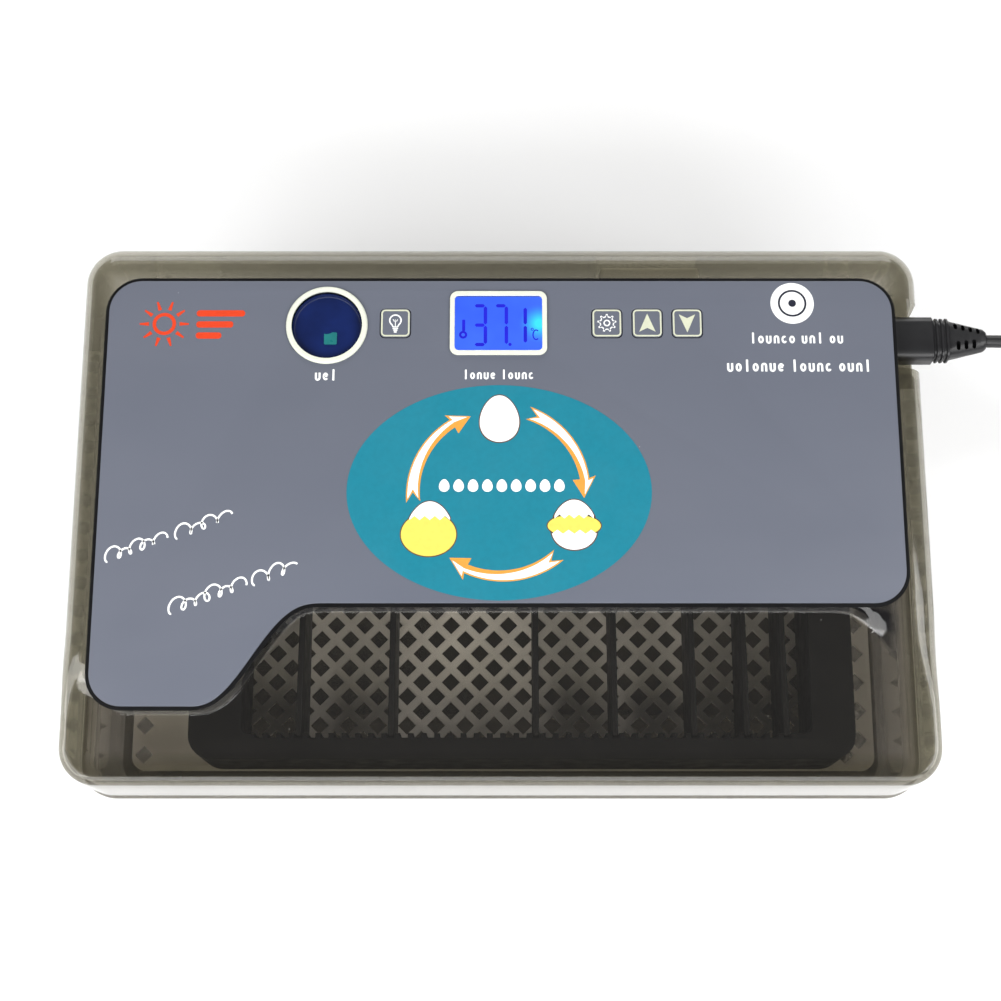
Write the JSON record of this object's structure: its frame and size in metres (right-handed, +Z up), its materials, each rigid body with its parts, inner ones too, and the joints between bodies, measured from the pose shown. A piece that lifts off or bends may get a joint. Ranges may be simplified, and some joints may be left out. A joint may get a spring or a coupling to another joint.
{
  "type": "egg incubator",
  "caption": "Tabletop egg incubator: smoky lift-off lid with control panel over a water tub with a sliding egg frame, loose dividers, fan and coiled mains lead.",
  "frame": {"origin": "on the table, under the middle of the tub and lid, without the mains lead", "axes": "+X to the user's right, along the longest side; +Y from the front window to the back; +Z up"},
  "size_m": [0.4865, 0.213, 0.1435],
  "materials": {
    "smoky_plastic": "smoky brown-grey, see-through, glossy",
    "panel_film": "slate grey printed film with a satin face",
    "black_plastic": "black, fine moulded texture",
    "ivory_plastic": "ivory, satin gloss",
    "mesh_plastic": "off-white moulded lattice",
    "rubber": "black, matt",
    "cord_rubber": "black, soft satin",
    "lens": "deep blue tinted, glossy",
    "display": "backlit blue display behind a glossy cover",
    "led": "green lamp chip",
    "circuit_board": "green solder mask",
    "steel": "plain bright steel",
    "gear_plastic": "natural white acetal"
  },
  "bodies": {
    "base": {"base_tub": "smoky_plastic", "foot_1": "rubber", "foot_2": "rubber", "foot_3": "rubber", "foot_4": "rubber", "mesh_floor": "mesh_plastic", "cord_run": "cord_rubber", "cord_coil": "cord_rubber", "cord_tail": "cord_rubber", "cord_tie": "rubber", "mains_plug": "cord_rubber", "plug_pin_1": "steel", "plug_pin_2": "steel"},
    "lid": {"lid_shell": "smoky_plastic", "control_panel": "panel_film", "control_housing": "black_plastic", "control_board": "circuit_board", "lcd_module": "display", "lcd_frame": "ivory_plastic", "candler_ring": "ivory_plastic", "candler_lens": "lens", "candler_led": "led", "fan_frame": "black_plastic", "fan_guard": "black_plastic", "heater_ring": "steel", "heater_clip_left": "gear_plastic", "heater_clip_right": "gear_plastic", "temperature_probe": "steel", "turner_gearbox": "gear_plastic", "power_inlet": "black_plastic", "power_supply": "gear_plastic", "power_connector": "cord_rubber", "housing_screw_1": "steel", "key_switch_1": "black_plastic", "housing_screw_2": "steel", "key_switch_2": "black_plastic", "housing_screw_3": "steel", "key_switch_3": "black_plastic", "housing_screw_4": "steel", "key_switch_4": "black_plastic"},
    "egg_frame": {"egg_frame": "black_plastic", "tray_rack": "gear_plastic"},
    "fan": {"fan_impeller": "black_plastic"},
    "pinion": {"turner_pinion": "gear_plastic"},
    "divider_1": {"divider_1": "black_plastic"},
    "divider_2": {"divider_2": "black_plastic"},
    "divider_3": {"divider_3": "black_plastic"},
    "divider_4": {"divider_4": "black_plastic"},
    "divider_5": {"divider_5": "black_plastic"},
    "divider_6": {"divider_6": "black_plastic"},
    "divider_7": {"divider_7": "black_plastic"},
    "key_light": {"key_light": "panel_film"},
    "key_set": {"key_set": "panel_film"},
    "key_up": {"key_up": "panel_film"},
    "key_down": {"key_down": "panel_film"}
  },
  "joints": [
    {"name": "lid_lift", "type": "slide", "parent": "base", "child": "lid", "axis": [0, 0, 1], "range_m": [0, 0.08]},
    {"name": "tray_slide", "type": "slide", "parent": "base", "child": "egg_frame", "axis": [1, 0, 0], "range_m": [-0.03, 0.013]},
    {"name": "pinion_spin", "type": "hinge", "parent": "lid", "child": "pinion", "pos_m": [0.06, 0.087, 0.1054], "axis": [0, 1, 0], "range_deg": [-65, 146]},
    {"name": "fan_spin", "type": "hinge", "parent": "lid", "child": "fan", "pos_m": [0, 0.018, 0.1127], "axis": [0, 0, 1], "continuous": true},
    {"name": "key_light_press", "type": "slide", "parent": "lid", "child": "key_light", "axis": [0, 0, -1], "range_m": [0, 0.0004], "stiffness_N_per_m": 1500},
    {"name": "key_set_press", "type": "slide", "parent": "lid", "child": "key_set", "axis": [0, 0, -1], "range_m": [0, 0.0004], "stiffness_N_per_m": 1500},
    {"name": "key_up_press", "type": "slide", "parent": "lid", "child": "key_up", "axis": [0, 0, -1], "range_m": [0, 0.0004], "stiffness_N_per_m": 1500},
    {"name": "key_down_press", "type": "slide", "parent": "lid", "child": "key_down", "axis": [0, 0, -1], "range_m": [0, 0.0004], "stiffness_N_per_m": 1500},
    {"name": "divider_1_lift", "type": "slide", "parent": "egg_frame", "child": "divider_1", "axis": [0, 0, 1], "range_m": [0, 0.018]},
    {"name": "divider_2_lift", "type": "slide", "parent": "egg_frame", "child": "divider_2", "axis": [0, 0, 1], "range_m": [0, 0.018]},
    {"name": "divider_3_lift", "type": "slide", "parent": "egg_frame", "child": "divider_3", "axis": [0, 0, 1], "range_m": [0, 0.018]},
    {"name": "divider_4_lift", "type": "slide", "parent": "egg_frame", "child": "divider_4", "axis": [0, 0, 1], "range_m": [0, 0.018]},
    {"name": "divider_5_lift", "type": "slide", "parent": "egg_frame", "child": "divider_5", "axis": [0, 0, 1], "range_m": [0, 0.018]},
    {"name": "divider_6_lift", "type": "slide", "parent": "egg_frame", "child": "divider_6", "axis": [0, 0, 1], "range_m": [0, 0.018]},
    {"name": "divider_7_lift", "type": "slide", "parent": "egg_frame", "child": "divider_7", "axis": [0, 0, 1], "range_m": [0, 0.018]}
  ],
  "couplings": [
    {"joint": "pinion_spin", "follows": "tray_slide", "rad_per_m": -83.333}
  ]
}
